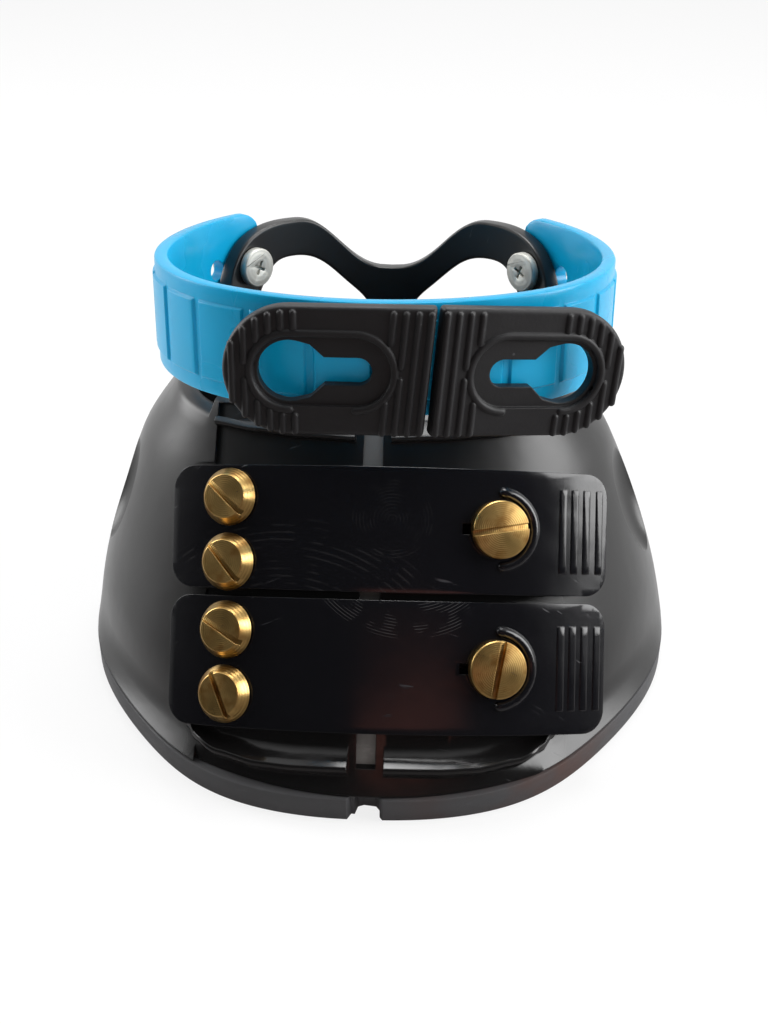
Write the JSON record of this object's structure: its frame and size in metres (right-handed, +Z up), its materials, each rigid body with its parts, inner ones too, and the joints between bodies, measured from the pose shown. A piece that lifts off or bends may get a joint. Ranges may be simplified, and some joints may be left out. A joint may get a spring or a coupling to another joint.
{
  "type": "horse hoof boot",
  "caption": "Moulded hoof boot with a split toe closed by two buttonhole straps on brass studs, a heel frame with open windows, and a pastern band with keyhole tabs.",
  "frame": {"origin": "centre of the sole's outline on the ground", "axes": "toe toward -Y, heel toward +Y, right-hand side seen from the front toward +X, +Z up"},
  "size_m": [0.132, 0.1239, 0.1064],
  "materials": {
    "shell_plastic": "glossy black moulded",
    "outsole_rubber": "matte dark grey",
    "band_plastic": "glossy sky blue",
    "strap_rubber": "satin black",
    "tab_rubber": "matte black",
    "brass": "turned brass",
    "zinc_steel": "dull zinc"
  },
  "bodies": {
    "boot": {"shell": "shell_plastic", "outsole": "outsole_rubber", "heel_frame": "shell_plastic", "pastern_band": "band_plastic", "upper_strap_anchor": "strap_rubber", "lower_strap_anchor": "strap_rubber", "strap_screw_1": "brass", "strap_screw_2": "brass", "strap_screw_3": "brass", "strap_screw_4": "brass", "screw_insert_1": "brass", "screw_insert_2": "brass", "screw_insert_3": "brass", "screw_insert_4": "brass", "upper_knob": "brass", "lower_knob": "brass", "upper_knob_insert": "brass", "lower_knob_insert": "brass", "band_screw_left": "zinc_steel", "band_screw_right": "zinc_steel", "band_nut_left": "zinc_steel", "band_nut_right": "zinc_steel"},
    "upper_strap": {"upper_strap_flap": "strap_rubber"},
    "lower_strap": {"lower_strap_flap": "strap_rubber"},
    "left_tab": {"left_tab": "tab_rubber"},
    "right_tab": {"right_tab": "tab_rubber"}
  },
  "joints": [
    {"name": "upper_strap_fold", "type": "hinge", "parent": "boot", "child": "upper_strap", "pos_m": [-0.02348, -0.0301, 0.05122], "axis": [0, -0.5736, -0.8192], "range_deg": [0, 95]},
    {"name": "lower_strap_fold", "type": "hinge", "parent": "boot", "child": "lower_strap", "pos_m": [-0.02348, -0.04618, 0.02824], "axis": [0, -0.5736, -0.8192], "range_deg": [0, 95]},
    {"name": "left_tab_slide", "type": "hinge", "parent": "boot", "child": "left_tab", "pos_m": [0, 0.01936, 0.08543], "axis": [0, 0.1478, 0.989], "range_deg": [-30, 0]},
    {"name": "right_tab_slide", "type": "hinge", "parent": "boot", "child": "right_tab", "pos_m": [0, 0.01936, 0.08543], "axis": [0, 0.1478, 0.989], "range_deg": [0, 11]}
  ]
}
